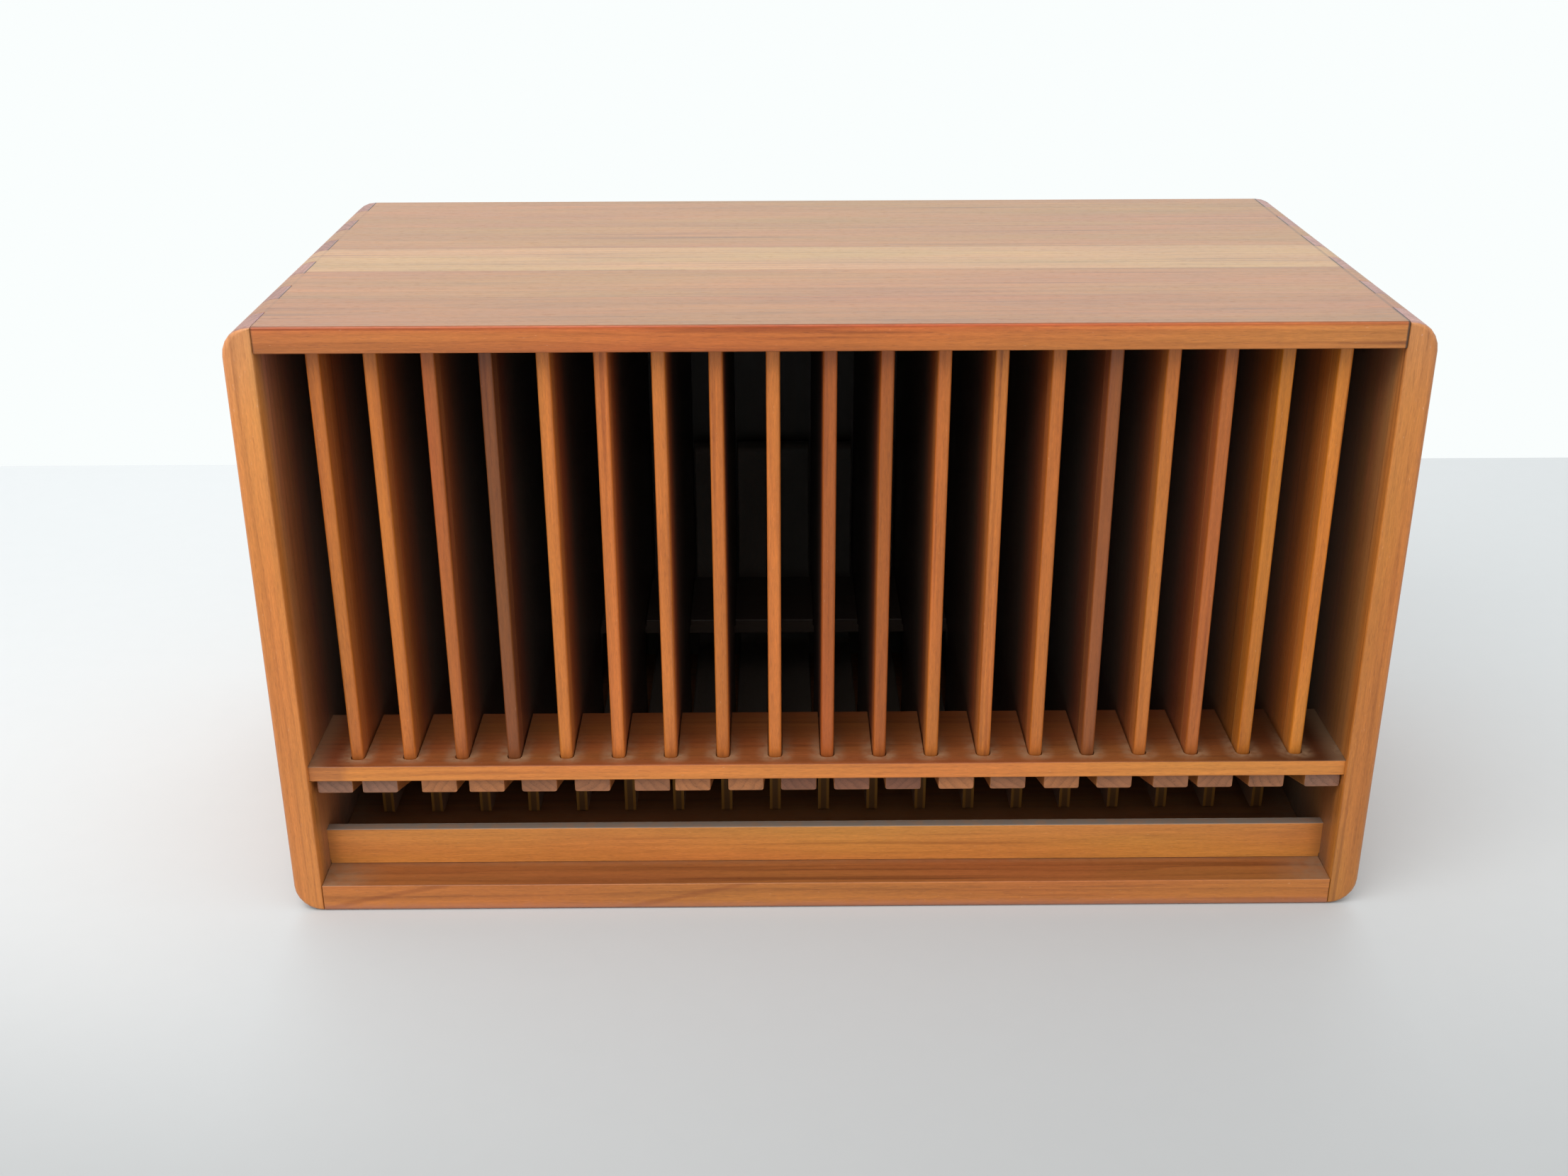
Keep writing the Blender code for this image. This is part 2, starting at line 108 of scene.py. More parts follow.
def rounded(bm, name, rule, width=2.2, segments=4):
    """The mesh with its edges rounded, each by the radius rule(edge) returns (mm)."""
    layer = bm.edges.layers.float.get("bevel_weight_edge") or bm.edges.layers.float.new("bevel_weight_edge")
    for e in bm.edges:
        info = Edge(e)
        r = rule(info) if info.turn > 8.0 else 0.0
        e[layer] = min(1.0, max(0.0, (r or 0.0) / width))
    me = bpy.data.meshes.new(name)
    bm.to_mesh(me)
    bm.free()
    ob = bpy.data.objects.new(name + "_raw", me)
    bpy.context.scene.collection.objects.link(ob)
    m = ob.modifiers.new("ease", "BEVEL")
    m.limit_method = "WEIGHT"
    m.width = width * MM
    m.segments = segments
    m.profile = 0.5
    m.use_clamp_overlap = False
    m.miter_outer = "MITER_ARC"
    m.loop_slide = True
    bpy.context.view_layer.update()
    done = bpy.data.meshes.new_from_object(ob.evaluated_get(bpy.context.evaluated_depsgraph_get()))
    bpy.data.objects.remove(ob, do_unlink=True)
    bpy.data.meshes.remove(me)
    done.name = name
    bm = bmesh.new()
    bm.from_mesh(done)
    bmesh.ops.remove_doubles(bm, verts=bm.verts[:], dist=1e-6)
    bmesh.ops.dissolve_degenerate(bm, dist=1e-6, edges=bm.edges[:])
    bmesh.ops.recalc_face_normals(bm, faces=bm.faces[:])
    bm.to_mesh(done)
    bm.free()
    return done


def shaded(me, sharp=38.0):
    """Smooth shading over the rounded edges, hard where faces meet sharply."""
    bm = bmesh.new()
    bm.from_mesh(me)
    for f in bm.faces:
        f.smooth = True
    for e in bm.edges:
        e.smooth = not (len(e.link_faces) != 2 or e.calc_face_angle(0.0) > math.radians(sharp))
    bm.to_mesh(me)
    bm.free()


def piece(name, me, body, slot, material, *nodes, weighted=True):
    """One visible piece: its mesh, finish, body, and the CAD nodes it stands for."""
    shaded(me)
    me.name = name
    me.materials.clear()
    me.materials.append(material)
    ob = bpy.data.objects.new(name, me)
    bpy.context.scene.collection.objects.link(ob)
    if weighted:
        w = ob.modifiers.new("weighted", "WEIGHTED_NORMAL")
        w.keep_sharp = True
        w.weight = 90
    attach(ob, body)
    if nodes:
        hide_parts(*nodes)
    return ob


# ==================================================================  materials
def lin(rgb):
    """0-255 display colour to the linear colour a shader takes."""
    out = []
    for v in rgb:
        v /= 255.0
        out.append(v / 12.92 if v <= 0.04045 else ((v + 0.055) / 1.055) ** 2.4)
    return out


LIGHT, GLOSS = 1.06, 0.026               # what this light gives a front face: matt, and glossy


def albedo(rgb, lit=1.0):
    """The colour that makes a face show this display colour where the light is lit times the front's."""
    return [max(0.35 * v, (v - GLOSS) / (LIGHT * lit)) for v in lin(rgb)]


class Graph:
    """A short way to wire shader nodes."""

    def __init__(self, tree):
        self.tree, self.count = tree, 0

    def node(self, kind, **settings):
        n = self.tree.nodes.new(kind)
        for k, v in settings.items():
            setattr(n, k, v)
        n.location = (190 * (self.count % 14), -260 * (self.count // 14))
        self.count += 1
        return n

    def put(self, socket, value):
        if value is None:
            return
        if isinstance(value, bpy.types.NodeSocket):
            self.tree.links.new(value, socket)
        else:
            socket.default_value = value

    def math(self, op, a, b=None, c=None, clamp=False):
        n = self.node("ShaderNodeMath", operation=op, use_clamp=clamp)
        for s, v in zip(n.inputs, (a, b, c)):
            self.put(s, v)
        return n.outputs[0]

    def vec(self, op, a, b=None, c=None):
        n = self.node("ShaderNodeVectorMath", operation=op)
        for s, v in zip(n.inputs, (a, b, c)):
            self.put(s, v)
        return n.outputs["Value"] if op in ("LENGTH", "DOT_PRODUCT", "DISTANCE") else n.outputs["Vector"]

    def split(self, v):
        n = self.node("ShaderNodeSeparateXYZ")
        self.put(n.inputs[0], v)
        return n.outputs

    def join(self, x, y, z):
        n = self.node("ShaderNodeCombineXYZ")
        for s, v in zip(n.inputs, (x, y, z)):
            self.put(s, v)
        return n.outputs[0]

    def noise(self, v, across, along=None, detail=2.0, rough=0.5, colour=False):
        """Noise with features `across` wide and `along` long (mm), grain on Z."""
        along = across if along is None else along
        v = self.vec("MULTIPLY", v, (1 / across, 1 / across, 1 / along))
        n = self.node("ShaderNodeTexNoise", noise_dimensions="3D")
        self.put(n.inputs["Vector"], v)
        n.inputs["Scale"].default_value = 1.0
        n.inputs["Detail"].default_value = detail
        n.inputs["Roughness"].default_value = rough
        return n.outputs["Color"] if colour else n.outputs["Fac"]

    def step(self, v, lo, hi, out_lo=0.0, out_hi=1.0):
        """A smooth step from lo to hi."""
        n = self.node("ShaderNodeMapRange", interpolation_type="SMOOTHSTEP", clamp=True)
        for s, x in zip(n.inputs, (v, lo, hi, out_lo, out_hi)):
            self.put(s, x)
        return n.outputs[0]

    def ramp(self, fac, stops, how="LINEAR"):
        n = self.node("ShaderNodeValToRGB")
        cr = n.color_ramp
        cr.interpolation = how
        while len(cr.elements) < len(stops):
            cr.elements.new(0.5)
        for el, (p, c) in zip(cr.elements, stops):
            el.position = p
            el.color = (c, c, c, 1.0) if isinstance(c, (int, float)) else (*c[:3], 1.0)
        self.put(n.inputs[0], fac)
        return n.outputs["Color"]

    def mix(self, fac, a, b, how="MIX"):
        n = self.node("ShaderNodeMix", data_type="RGBA", blend_type=how)
        self.put(n.inputs[0], fac)
        self.put(n.inputs[6], a if isinstance(a, bpy.types.NodeSocket) else (*a[:3], 1.0))
        self.put(n.inputs[7], b if isinstance(b, bpy.types.NodeSocket) else (*b[:3], 1.0))
        return n.outputs[2]

    def tint(self, colour, factor):
        """A colour times a number socket."""
        return self.vec("MULTIPLY", colour, self.join(factor, factor, factor))


def solid_wood():
    """Wood as a solid: growth rings round a pith, fibres, pores and streaks.

    The point comes in millimetres with the grain along Z, so faces along the
    grain show lines and faces across it show arcs and dots.
    """
    g = bpy.data.node_groups.new("solid_wood", "ShaderNodeTree")
    face = g.interface
    for name, kind, value in (
            ("Point", "NodeSocketVector", None), ("Pith", "NodeSocketVector", (0, -60, 0)),
            ("Tone", "NodeSocketColor", (0.5, 0.2, 0.06, 1)), ("Dark", "NodeSocketColor", (0.2, 0.07, 0.03, 1)),
            ("End tone", "NodeSocketColor", (0.3, 0.14, 0.08, 1)), ("End", "NodeSocketFloat", 0.0),
            ("Ring width", "NodeSocketFloat", 2.6), ("Figure", "NodeSocketFloat", 0.5),
            ("Streaks", "NodeSocketFloat", 0.5), ("Pores", "NodeSocketFloat", 0.5)):
        s = face.new_socket(name, in_out="INPUT", socket_type=kind)
        if value is not None:
            s.default_value = value
    for name, kind in (("Color", "NodeSocketColor"), ("Height", "NodeSocketFloat"),
                       ("Roughness", "NodeSocketFloat")):
        face.new_socket(name, in_out="OUTPUT", socket_type=kind)
    k = Graph(g)
    i = k.node("NodeGroupInput").outputs
    o = k.node("NodeGroupOutput")

    warp = k.vec("SUBTRACT", k.noise(i["Point"], 34, 210, 1.0, colour=True), (0.5, 0.5, 0.5))
    p = k.vec("MULTIPLY_ADD", warp, (9.0, 9.0, 0.0), i["Point"])
    rel = k.vec("MULTIPLY", k.vec("SUBTRACT", p, i["Pith"]), (1, 1, 0))
    r = k.math("DIVIDE", k.vec("LENGTH", rel), i["Ring width"])
    r = k.math("MULTIPLY_ADD", k.noise(i["Point"], 5.0, 70, 2.0), 1.1, r)
    ring = k.ramp(k.math("FRACT", r), ((0.0, 0.12), (0.35, 0.0), (0.78, 0.55), (0.93, 1.0), (1.0, 0.12)))
    which = k.node("ShaderNodeTexWhiteNoise", noise_dimensions="1D")
    k.put(which.inputs["W"], k.math("FLOOR", r))
    late = k.math("MULTIPLY", ring, k.math("MULTIPLY_ADD", which.outputs["Value"], 0.9, 0.35))
    late = k.math("MULTIPLY", late, i["Figure"])

    band = k.noise(i["Point"], 8.5, 150, 2.0)
    streak = k.noise(i["Point"], 1.7, 60, 2.5)
    fibre = k.noise(i["Point"], 0.45, 8.0, 3.0, 0.65)
    speck = k.noise(k.vec("ADD", i["Point"], (11, 5, 0)), 0.28, 1.9, 1.5)
    long_dark = k.step(k.noise(i["Point"], 2.4, 130, 1.5), 0.60, 0.73)
    pores = k.step(k.noise(i["Point"], 0.33, 3.2, 1.0), 0.60, 0.72)
    flecks = k.step(k.noise(k.vec("ADD", i["Point"], (31, 7, 90)), 0.45, 1.6, 1.0), 0.74, 0.82)

    light = k.math("MULTIPLY_ADD", k.math("SUBTRACT", band, 0.5), 0.42, 1.0)
    light = k.math("MULTIPLY_ADD", k.math("SUBTRACT", streak, 0.5), 0.38, light)
    light = k.math("MULTIPLY_ADD", k.math("SUBTRACT", fibre, 0.5), 0.50, light)
    light = k.math("MULTIPLY_ADD", k.math("SUBTRACT", speck, 0.5), 0.34, light)
    deep = k.math("MULTIPLY", long_dark, k.math("MULTIPLY", i["Streaks"], 0.75))
    deep = k.math("MULTIPLY_ADD", late, 0.60, deep)
    deep = k.math("MULTIPLY_ADD", k.math("MULTIPLY", pores, i["Pores"]), 0.42, deep, clamp=True)
    along = k.mix(deep, i["Tone"], i["Dark"])
    # slow drift between a pinker and a yellower brown
    hue = k.noise(k.vec("ADD", i["Point"], (170, 40, 300)), 13, 110, 1.5)
    along = k.vec("MULTIPLY", along, k.ramp(hue, ((0.30, (1.04, 0.95, 1.02)), (0.70, (0.97, 1.06, 0.94)))))
    along = k.tint(along, light)
    along = k.mix(k.math("MULTIPLY", flecks, 0.22), along, (0.80, 0.50, 0.28))

    # end grain: rings and vessel dots, greyer, with fine rays from the pith
    ang = k.math("ARCTAN2", k.split(rel)[1], k.split(rel)[0])
    rays = k.node("ShaderNodeTexNoise", noise_dimensions="2D")
    k.put(rays.inputs["Vector"], k.join(k.math("MULTIPLY", ang, 150.0), k.math("MULTIPLY", r, 0.55), 0.0))
    rays.inputs["Scale"].default_value = 1.0
    rays.inputs["Detail"].default_value = 1.0
    end_light = k.math("MULTIPLY_ADD", k.math("SUBTRACT", rays.outputs["Fac"], 0.5), 0.30, 1.0)
    end_light = k.math("MULTIPLY_ADD", k.math("SUBTRACT", band, 0.5), 0.75, end_light)
    end_light = k.math("MULTIPLY_ADD", ring, -0.30, end_light)
    end_light = k.math("MULTIPLY_ADD", pores, -0.28, end_light)
    across = k.tint(i["End tone"], k.math("ADD", end_light, 0.14))
    k.put(o.inputs["Color"], k.mix(i["End"], along, across))

    h = k.math("MULTIPLY_ADD", pores, -0.8, fibre)
    h = k.math("MULTIPLY_ADD", late, -0.35, h)
    k.put(o.inputs["Height"], h)
    rough = k.math("MULTIPLY_ADD", k.math("SUBTRACT", fibre, 0.5), 0.22, 0.39)
    rough = k.math("MULTIPLY_ADD", pores, 0.12, rough)
    rough = k.math("MULTIPLY_ADD", i["End"], 0.17, rough)
    k.put(o.inputs["Roughness"], rough)
    return g


WOOD = solid_wood()
ORDER = {"X": (1, 2, 0), "Y": (0, 2, 1), "Z": (0, 1, 2)}


def wood(name, tone, grain, pith, dark=None, end=None, ring=2.6, figure=0.5, streaks=0.5, pores=0.5,
         seed=0.0, bump=0.5, extra=None, staves=None, gloss=0.0, lit=1.0):
    """One teak finish.  tone, dark and end are 0-255 colours as they look lit.

    pith is where the tree's centre lies, in millimetres across the grain;
    extra(k, colour, where) may add dust, stain, painted shade and painted highlights by place.
    """
    m = bpy.data.materials.new(name)
    m.use_nodes = True
    m.node_tree.nodes.clear()
    k = Graph(m.node_tree)
    out = k.node("ShaderNodeOutputMaterial")
    b = k.node("ShaderNodeBsdfPrincipled")
    k.put(out.inputs["Surface"], b.outputs["BSDF"])
    tc = k.node("ShaderNodeTexCoord").outputs
    pos = k.vec("MULTIPLY", tc["Object"], (1000.0, 1000.0, 1000.0))
    xyz = k.split(pos)
    a, bb, c = (xyz[n] for n in ORDER[grain])
    point = k.vec("ADD", k.join(a, bb, c), (seed * 3.1, seed * 7.7, seed * 53.0))
    pith3 = (pith[0] + seed * 3.1, pith[1] + seed * 7.7, 0.0)
    stave_tone = None
    if staves:
        axis, edges, tones = staves
        lo, hi = edges[0], edges[-1]
        t = k.math("DIVIDE", k.math("SUBTRACT", xyz[axis], lo), hi - lo)
        cuts = [(e - lo) / (hi - lo) for e in edges[:-1]]
        stave_tone = k.ramp(t, list(zip(cuts, tones)), "CONSTANT")
        shift = k.ramp(t, [(cpos, ((n * 0.37 + 0.21) % 1.0)) for n, cpos in enumerate(cuts)], "CONSTANT")
        shift = k.math("MULTIPLY", k.split(shift)[0], 400.0)
        point = k.vec("ADD", point, k.join(0.0, 0.0, shift))
        point = k.vec("ADD", point, k.join(k.math("MULTIPLY", shift, 0.31), 0.0, 0.0))
    w = k.node("ShaderNodeGroup", node_tree=WOOD)
    k.put(w.inputs["Point"], point)
    w.inputs["Pith"].default_value = pith3
    tone_l = albedo(tone, lit)
    dark_l = albedo(dark, lit) if dark else [tone_l[0] * 0.46, tone_l[1] * 0.36, tone_l[2] * 0.34]
    end_l = albedo(end, lit) if end else [tone_l[0] * 0.52, tone_l[1] * 0.66, tone_l[2] * 1.4]
    w.inputs["Tone"].default_value = (*tone_l, 1)
    w.inputs["Dark"].default_value = (*dark_l, 1)
    w.inputs["End tone"].default_value = (*end_l, 1)
    w.inputs["Ring width"].default_value = ring
    w.inputs["Figure"].default_value = figure
    w.inputs["Streaks"].default_value = streaks
    w.inputs["Pores"].default_value = pores
    axis_n = k.split(tc["Normal"])["XYZ".index(grain)]
    k.put(w.inputs["End"], k.step(k.math("ABSOLUTE", axis_n), 0.62, 0.86))
    colour = w.outputs["Color"]
    if stave_tone is not None:
        colour = k.vec("MULTIPLY", colour, stave_tone)
        # a thin dark glue line between neighbouring staves
        line = None
        for e in edges[1:-1]:
            d = k.math("ABSOLUTE", k.math("SUBTRACT", xyz[axis], e))
            near = k.step(d, 0.10, 0.32, 1.0, 0.0)
            line = near if line is None else k.math("MAXIMUM", line, near)
        colour = k.mix(k.math("MULTIPLY", line, 0.45), colour, [v * 0.35 for v in tone_l])
    rough = w.outputs["Roughness"]
    if gloss:
        rough = k.math("SUBTRACT", rough, gloss)
    if extra:
        colour, rough = extra(k, colour, rough, pos, xyz, tc["Normal"])
    k.put(b.inputs["Base Color"], colour)
    k.put(b.inputs["Roughness"], rough)
    bn = k.node("ShaderNodeBump")
    bn.inputs["Strength"].default_value = bump
    bn.inputs["Distance"].default_value = 0.00005
    k.put(bn.inputs["Height"], w.outputs["Height"])
    k.put(b.inputs["Normal"], bn.outputs["Normal"])
    return m


# -------------------------------------------------------------- colour masks
def upward(k, normal, lo=0.55, hi=0.9):
    return k.step(k.split(normal)[2], lo, hi)


def haze(k, colour, rough, mask, dust=(150, 124, 100)):
    """Pale matt dust lying where mask is 1."""
    colour = k.mix(mask, colour, albedo(dust))
    return colour, k.math("MULTIPLY_ADD", mask, 0.25, rough)



# named teak tones, as they look in soft light
SMOKE = (136, 84, 57)
AMBER, HONEY, ROSE = (211, 127, 68), (200, 119, 64), (184, 107, 62)
RUSSET, UMBER, GOLD = (177, 100, 57), (154, 93, 60), (201, 124, 58)
CASE_L, CASE_R, TOP_TONE = (216, 138, 77), (201, 128, 70), (190, 116, 68)
SHELF_FRONT, RAIL, BASE = (208, 132, 72), (187, 123, 70), (179, 112, 64)
SLOT_SHADE_GREY = (0.13, 0.125, 0.11)               # grey for the painted shade far back in the slots, partly taken as dull, dusty, unfinished wood


def paint_depth_shade(k, mask, colour):
    """Painted shade fading towards the back of the slots, partly taken as dull wood; keeps some grain."""
    return k.mix(mask, colour, k.vec("MULTIPLY_ADD", colour, (0.18, 0.18, 0.18), SLOT_SHADE_GREY))


def shelf_dust_and_shade(k, colour, rough, pos, xyz, normal):
    """Shelf: a red-brown top darkened with painted shade, most at its right end, with pale dust packed round the
    divider feet.
    """
    up = upward(k, normal)
    # painted shade: the top face darkened for the overhang above it, more towards the right end
    colour = k.mix(up, colour, k.vec("MULTIPLY", colour, (0.43, 0.38, 0.58)))
    shade = k.math("MULTIPLY", up, k.step(xyz[0], 95.0, JOINT_X))
    colour = k.mix(shade, colour, k.vec("MULTIPLY", colour, (0.27, 0.28, 0.35)))
    # a darker, pinker patch at the left end of the front edge
    end = k.math("MULTIPLY_ADD", k.noise(pos, 3.0, 3.0, 2.0), 6.0, xyz[0])
    colour = k.mix(k.step(end, -JOINT_X + 11.0, -JOINT_X + 17.0, 0.75, 0.0), colour, k.vec("MULTIPLY", colour, (0.62, 0.58, 0.80)))
    u = k.math("MULTIPLY", k.math("PINGPONG", k.math("DIVIDE", xyz[0], PITCH), 0.5), PITCH)
    du = k.math("MAXIMUM", k.math("SUBTRACT", u, 2.0), 0.0)
    dv = k.math("SUBTRACT", yw(6.0), xyz[1])
    dv = k.math("MULTIPLY", k.math("MAXIMUM", dv, 0.0), 1.1)
    dist = k.math("SQRT", k.math("ADD", k.math("MULTIPLY", du, du), k.math("MULTIPLY", dv, dv)))
    near = k.step(dist, 0.2, 4.6, 1.0, 0.0)
    near = k.math("MULTIPLY", near, k.step(xyz[1], yw(9.0), yw(24.0), 1.0, 0.15))
    near = k.math("MULTIPLY", near, k.step(k.noise(pos, 2.2, 2.2, 3.0), 0.30, 0.62, 0.35, 1.0))
    ends = k.step(k.math("ABSOLUTE", xyz[0]), JOINT_X - 7, JOINT_X, 0.0, 0.7)
    mask = k.math("MULTIPLY", k.math("MAXIMUM", near, ends), k.math("MULTIPLY", up, 0.55))
    return haze(k, colour, rough, mask, (168, 140, 112))


def base_board(k, colour, rough, pos, xyz, normal):
    """Bottom board: top darkened with painted shade, grey dust in its corners and along the rail."""
    up = k.math("MULTIPLY", upward(k, normal), k.step(xyz[2], 8.0, 8.8))
    # painted shade on the top face, under the shelf and keys
    colour = k.mix(up, colour, k.vec("MULTIPLY", colour, (0.64, 0.67, 0.92)))
    # two slanting growth lines and a pinker, greyer lower edge on the front
    slant = k.math("MULTIPLY_ADD", xyz[0], -0.225, xyz[2])
    slant = k.math("MULTIPLY_ADD", k.noise(k.join(xyz[1], xyz[2], xyz[0]), 1.6, 14.0, 2.0), 1.3, slant)
    veil = k.math("MAXIMUM", k.step(k.math("ABSOLUTE", k.math("SUBTRACT", slant, 36.2)), 0.25, 1.3, 1.0, 0.0),
                  k.step(k.math("ABSOLUTE", k.math("SUBTRACT", slant, 15.0)), 0.25, 1.3, 1.0, 0.0))
    face = k.step(k.split(normal)[1], -0.85, -0.5, 1.0, 0.0)
    colour = k.mix(k.math("MULTIPLY", k.math("MULTIPLY", veil, face), 0.42), colour, albedo((132, 76, 44), 0.85))
    foot = k.math("MULTIPLY_ADD", k.noise(pos, 2.5, 2.5, 2.0), 2.0, xyz[2])
    colour = k.mix(k.step(foot, 1.6, 4.4, 0.62, 0.0), colour, albedo((168, 112, 90), 0.9))
    ends = k.step(k.math("ABSOLUTE", xyz[0]), JOINT_X - 21, JOINT_X, 0.0, 0.74)
    rail = k.step(xyz[1], yw(9.5), yw(12.8), 0.0, 0.30)
    mask = k.math("MULTIPLY", k.math("MAXIMUM", ends, rail), up)
    mask = k.math("MULTIPLY", mask, k.step(k.noise(pos, 3.0, 3.0, 3.0), 0.3, 0.65, 0.55, 1.0))
    return haze(k, colour, rough, mask, (152, 124, 100))


def rail_top(k, colour, rough, pos, xyz, normal):
    """Front rail: a thick film of grey dust along its top edge, a painted highlight at the back of the top, darker at
    the ends.
    """
    up = k.math("MULTIPLY", upward(k, normal, 0.4, 0.85), k.step(xyz[2], 20.4, 21.0))
    patch = k.step(k.noise(pos, 3.5, 3.5, 3.0), 0.34, 0.60, 0.82, 1.0)
    colour, rough = haze(k, colour, rough, k.math("MULTIPLY", up, patch), (154, 141, 130))
    # a painted highlight: a pale line along the back of the top
    rim = k.math("MULTIPLY", k.step(xyz[1], yw(15.7), yw(16.0)), k.step(k.noise(pos, 1.5, 1.5, 2.0), 0.35, 0.6, 0.3, 1.0))
    colour = k.mix(k.math("MULTIPLY", rim, up), colour, albedo((176, 168, 156)))
    ends = k.step(k.math("ABSOLUTE", xyz[0]), JOINT_X - 5, JOINT_X, 0.0, 0.35)
    return haze(k, colour, rough, ends, (120, 84, 58))


def side_board(k, colour, rough, pos, xyz, normal):
    """Case side: painted shade on the inside faces and deeper in the slots (partly taken as dull wood), grimy where the
    fingers meet, and painted light brighter towards the top.
    """
    inward = k.math("SUBTRACT", JOINT_X + 0.7, k.math("ABSOLUTE", xyz[0]))
    inside = k.step(inward, 0.2, 0.7)
    inside = k.math("MULTIPLY", inside, k.step(xyz[1], yw(1.5), yw(9.0)))
    # painted shade: a cooler, duller tint on the inside faces behind the front edge
    colour = k.mix(inside, colour, k.vec("MULTIPLY", colour, (0.82, 0.84, 1.45)))
    # painted shade: the right side's inside face darker still
    right = k.math("MULTIPLY", inside, k.step(xyz[0], -1.0, 1.0))
    colour = k.mix(right, colour, k.vec("MULTIPLY", colour, (0.74, 0.84, 0.76)))
    low = k.step(xyz[2], 9.0, 26.0, 0.52, 0.0)
    low = k.math("MULTIPLY", k.math("MULTIPLY", low, inside), k.step(k.noise(pos, 3.0, 3.0, 3.0), 0.3, 0.65, 0.5, 1.0))
    colour, rough = haze(k, colour, rough, low, (118, 104, 90))
    # painted shade fading deeper into the slots, less of it low down; partly taken as dull wood
    inside = k.math("MULTIPLY", inside, k.step(xyz[1], yw(11.0), yw(46.0)))
    inside = k.math("MULTIPLY", inside, k.step(xyz[2], 36.0, 52.0, 0.45, 1.0))
    # painted light: the whole side brighter and paler towards the top, darker towards the bottom
    colour = k.vec("MULTIPLY", colour, k.ramp(k.math("DIVIDE", xyz[2], HEIGHT),
                                              ((0.0, 0.84), (0.30, 0.92), (0.62, 1.04), (0.86, (1.13, 1.21, 1.48)), (1.0, (1.0, 1.14, 2.1)))))
    return paint_depth_shade(k, inside, colour), rough


def top_board(k, colour, rough, pos, xyz, normal):
    """Top board: glue line stain at both ends, painted shade on the underside."""
    # painted shade on the underside, back from the front edge
    under = k.step(xyz[2], HEIGHT - TOP_T + 0.1, HEIGHT - TOP_T + 0.8, 1.0, 0.0)
    under = k.math("MULTIPLY", under, k.step(xyz[1], yw(0.5), yw(4.0)))
    colour = k.mix(under, colour, k.vec("MULTIPLY", colour, (0.5, 0.45, 0.42)))
    faded = upward(k, normal, 0.6, 0.95)
    colour = k.mix(faded, colour, k.vec("MULTIPLY_ADD", colour, (0.66, 0.78, 0.90), (0.012, 0.020, 0.018)))
    # grey stain clouds on the first stave, one dark pore line on the third
    cloud = k.step(k.noise(k.join(xyz[1], xyz[2], xyz[0]), 5.0, 48.0, 3.0), 0.50, 0.68, 0.0, 0.55)
    cloud = k.math("MULTIPLY", cloud, k.step(xyz[1], yw(20.0), yw(31.0), 1.0, 0.25))
    colour = k.mix(k.math("MULTIPLY", cloud, faded), colour, k.vec("MULTIPLY", colour, (0.72, 0.76, 0.86)))
    vein = k.math("ABSOLUTE", k.math("SUBTRACT", xyz[1], yw(70.0)))
    vein = k.math("MULTIPLY_ADD", k.noise(k.join(xyz[1], xyz[2], xyz[0]), 1.5, 22.0, 2.0), 1.4, vein)
    vein = k.math("MULTIPLY", k.step(vein, 0.75, 1.5, 0.45, 0.0), faded)
    colour = k.mix(vein, colour, k.vec("MULTIPLY", colour, (0.62, 0.58, 0.60)))
    # the front edge: brown at the left, redder in the middle, paler at the right
    edge = k.step(k.split(normal)[1], -0.85, -0.5, 1.0, 0.0)
    drift = k.ramp(k.math("MULTIPLY_ADD", xyz[0], 1.0 / 326.0, 0.5),
                   ((0.03, (0.90, 1.00, 1.12)), (0.26, (0.92, 0.84, 0.90)), (0.42, (1.00, 0.83, 0.86)),
                    (0.57, (1.03, 0.90, 0.92)), (0.72, (1.00, 1.00, 1.06)), (0.88, (1.08, 1.22, 1.30)),
                    (0.97, (0.98, 1.15, 1.35))))
    low = k.step(k.math("MULTIPLY_ADD", k.noise(k.join(xyz[1], xyz[2], xyz[0]), 1.2, 30.0, 2.0), 2.0, xyz[2]),
                 HEIGHT - 5.6, HEIGHT - 3.4, 0.96, 1.13)
    upper = k.step(xyz[2], HEIGHT - 2.6, HEIGHT - 1.2)
    drift = k.mix(upper, drift, k.vec("MULTIPLY", drift, (1.16, 1.08, 1.12)))
    colour = k.mix(edge, colour, k.tint(k.vec("MULTIPLY", colour, drift), low))
    rim = k.math("MULTIPLY", k.step(xyz[2], HEIGHT - 1.3, HEIGHT - 0.5), k.step(k.split(normal)[2], 0.93, 0.99, 1.0, 0.0))
    rim = k.math("MULTIPLY", rim, k.step(xyz[1], yw(2.0), yw(4.0), 1.0, 0.0))
    colour = k.mix(rim, colour, k.vec("MULTIPLY", colour, (0.78, 0.56, 0.48)))
    left = k.step(xyz[0], -JOINT_X + 0.25, -JOINT_X + 0.6, 0.35, 0.0)
    right = k.step(xyz[0], JOINT_X - 0.85, JOINT_X - 0.35, 0.0, 0.92)
    front = k.step(xyz[1], yw(12.0), yw(16.0), 1.0, 0.4)
    stain = k.math("MULTIPLY", k.math("MAXIMUM", left, right), front)
    # only the wood between the sides, not the fingers' ends
    stain = k.math("MULTIPLY", stain, k.step(k.math("ABSOLUTE", xyz[0]), JOINT_X + 0.2, JOINT_X + 0.5, 1.0, 0.0))
    colour = k.mix(stain, colour, (0.045, 0.026, 0.018))
    return colour, rough


